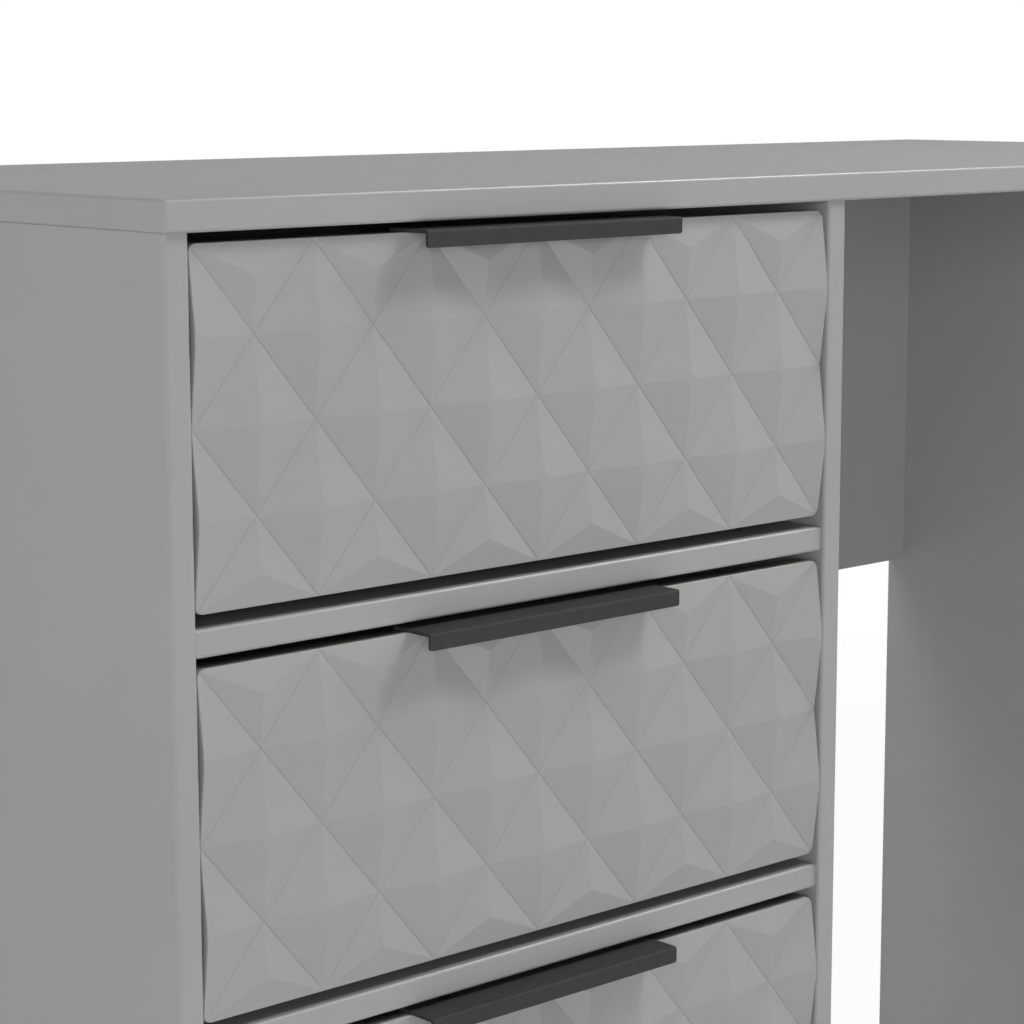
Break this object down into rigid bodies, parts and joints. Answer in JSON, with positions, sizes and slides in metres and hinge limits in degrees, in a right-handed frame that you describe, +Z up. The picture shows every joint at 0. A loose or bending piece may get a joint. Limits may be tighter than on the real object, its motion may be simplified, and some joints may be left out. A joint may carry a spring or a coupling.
{
  "type": "writing desk with drawers",
  "caption": "Writing desk with a drawer pedestal on the left, faceted diamond drawer fronts, lip handles and an open knee space with a modesty panel.",
  "frame": {"origin": "on the floor, under the middle of the desk's outer box", "axes": "+X to the right along the desk's width as the sitter sees it, +Y towards the back, +Z up"},
  "size_m": [0.936, 0.4074, 0.76],
  "materials": {
    "grey_foil_board": "satin",
    "grey_foil_front": "satin",
    "drawer_box_board": "satin",
    "hardboard": "matte",
    "beech": "matte",
    "black_metal": "satin",
    "white_coated_steel": "satin",
    "zinc_steel": "satin",
    "roller_nylon": "satin",
    "glide_plastic": "matte"
  },
  "bodies": {
    "carcass": {"desk_top": "grey_foil_board", "left_side_panel": "grey_foil_board", "pedestal_divider_panel": "grey_foil_board", "right_end_panel": "grey_foil_board", "modesty_panel": "grey_foil_board", "upper_rail": "grey_foil_board", "middle_rail": "grey_foil_board", "lower_rail": "grey_foil_board", "pedestal_bottom_panel": "grey_foil_board", "plinth_boards": "grey_foil_board", "pedestal_back_panel": "hardboard", "beech_dowels": "beech", "cam_bolts": "zinc_steel", "cam_locks": "zinc_steel", "runner_screws": "zinc_steel", "floor_glides": "glide_plastic", "cabinet_runners_1": "white_coated_steel", "cabinet_runners_2": "white_coated_steel", "cabinet_runners_3": "white_coated_steel", "cabinet_runners_4": "white_coated_steel"},
    "drawer_1": {"drawer_front_1": "grey_foil_front", "drawer_handle_1": "black_metal", "drawer_sides_1": "drawer_box_board", "drawer_inner_front_1": "drawer_box_board", "drawer_back_1": "drawer_box_board", "drawer_bottom_1": "hardboard", "drawer_runners_1": "white_coated_steel", "drawer_screws_1": "zinc_steel"},
    "front_roller_pair_1": {"front_rollers_1": "roller_nylon"},
    "rear_roller_pair_1": {"rear_rollers_1": "roller_nylon"},
    "drawer_2": {"drawer_front_2": "grey_foil_front", "drawer_handle_2": "black_metal", "drawer_sides_2": "drawer_box_board", "drawer_inner_front_2": "drawer_box_board", "drawer_back_2": "drawer_box_board", "drawer_bottom_2": "hardboard", "drawer_runners_2": "white_coated_steel", "drawer_screws_2": "zinc_steel"},
    "front_roller_pair_2": {"front_rollers_2": "roller_nylon"},
    "rear_roller_pair_2": {"rear_rollers_2": "roller_nylon"},
    "drawer_3": {"drawer_front_3": "grey_foil_front", "drawer_handle_3": "black_metal", "drawer_sides_3": "drawer_box_board", "drawer_inner_front_3": "drawer_box_board", "drawer_back_3": "drawer_box_board", "drawer_bottom_3": "hardboard", "drawer_runners_3": "white_coated_steel", "drawer_screws_3": "zinc_steel"},
    "front_roller_pair_3": {"front_rollers_3": "roller_nylon"},
    "rear_roller_pair_3": {"rear_rollers_3": "roller_nylon"},
    "drawer_4": {"drawer_front_4": "grey_foil_front", "drawer_handle_4": "black_metal", "drawer_sides_4": "drawer_box_board", "drawer_inner_front_4": "drawer_box_board", "drawer_back_4": "drawer_box_board", "drawer_bottom_4": "hardboard", "drawer_runners_4": "white_coated_steel", "drawer_screws_4": "zinc_steel"},
    "front_roller_pair_4": {"front_rollers_4": "roller_nylon"},
    "rear_roller_pair_4": {"rear_rollers_4": "roller_nylon"}
  },
  "joints": [
    {"name": "drawer_1_slide", "type": "slide", "parent": "carcass", "child": "drawer_1", "axis": [0, -1, 0], "range_m": [0, 0.265]},
    {"name": "front_roller_1_spin", "type": "hinge", "parent": "carcass", "child": "front_roller_pair_1", "pos_m": [-0.2593, -0.1607, 0.6054], "axis": [1, 0, 0], "range_deg": [0, 1794]},
    {"name": "rear_roller_1_spin", "type": "hinge", "parent": "drawer_1", "child": "rear_roller_pair_1", "pos_m": [-0.2593, 0.1573, 0.6054], "axis": [1, 0, 0], "range_deg": [0, 1794]},
    {"name": "drawer_2_slide", "type": "slide", "parent": "carcass", "child": "drawer_2", "axis": [0, -1, 0], "range_m": [0, 0.265]},
    {"name": "front_roller_2_spin", "type": "hinge", "parent": "carcass", "child": "front_roller_pair_2", "pos_m": [-0.2593, -0.1607, 0.4275], "axis": [1, 0, 0], "range_deg": [0, 1794]},
    {"name": "rear_roller_2_spin", "type": "hinge", "parent": "drawer_2", "child": "rear_roller_pair_2", "pos_m": [-0.2593, 0.1573, 0.4275], "axis": [1, 0, 0], "range_deg": [0, 1794]},
    {"name": "drawer_3_slide", "type": "slide", "parent": "carcass", "child": "drawer_3", "axis": [0, -1, 0], "range_m": [0, 0.265]},
    {"name": "front_roller_3_spin", "type": "hinge", "parent": "carcass", "child": "front_roller_pair_3", "pos_m": [-0.2593, -0.1607, 0.2496], "axis": [1, 0, 0], "range_deg": [0, 1794]},
    {"name": "rear_roller_3_spin", "type": "hinge", "parent": "drawer_3", "child": "rear_roller_pair_3", "pos_m": [-0.2593, 0.1573, 0.2496], "axis": [1, 0, 0], "range_deg": [0, 1794]},
    {"name": "drawer_4_slide", "type": "slide", "parent": "carcass", "child": "drawer_4", "axis": [0, -1, 0], "range_m": [0, 0.265]},
    {"name": "front_roller_4_spin", "type": "hinge", "parent": "carcass", "child": "front_roller_pair_4", "pos_m": [-0.2593, -0.1607, 0.0717], "axis": [1, 0, 0], "range_deg": [0, 1794]},
    {"name": "rear_roller_4_spin", "type": "hinge", "parent": "drawer_4", "child": "rear_roller_pair_4", "pos_m": [-0.2593, 0.1573, 0.0717], "axis": [1, 0, 0], "range_deg": [0, 1794]}
  ],
  "couplings": [
    {"joint": "front_roller_1_spin", "follows": "drawer_1_slide", "rad_per_m": 117.65},
    {"joint": "rear_roller_1_spin", "follows": "drawer_1_slide", "rad_per_m": 117.65},
    {"joint": "front_roller_2_spin", "follows": "drawer_2_slide", "rad_per_m": 117.65},
    {"joint": "rear_roller_2_spin", "follows": "drawer_2_slide", "rad_per_m": 117.65},
    {"joint": "front_roller_3_spin", "follows": "drawer_3_slide", "rad_per_m": 117.65},
    {"joint": "rear_roller_3_spin", "follows": "drawer_3_slide", "rad_per_m": 117.65},
    {"joint": "front_roller_4_spin", "follows": "drawer_4_slide", "rad_per_m": 117.65},
    {"joint": "rear_roller_4_spin", "follows": "drawer_4_slide", "rad_per_m": 117.65}
  ]
}
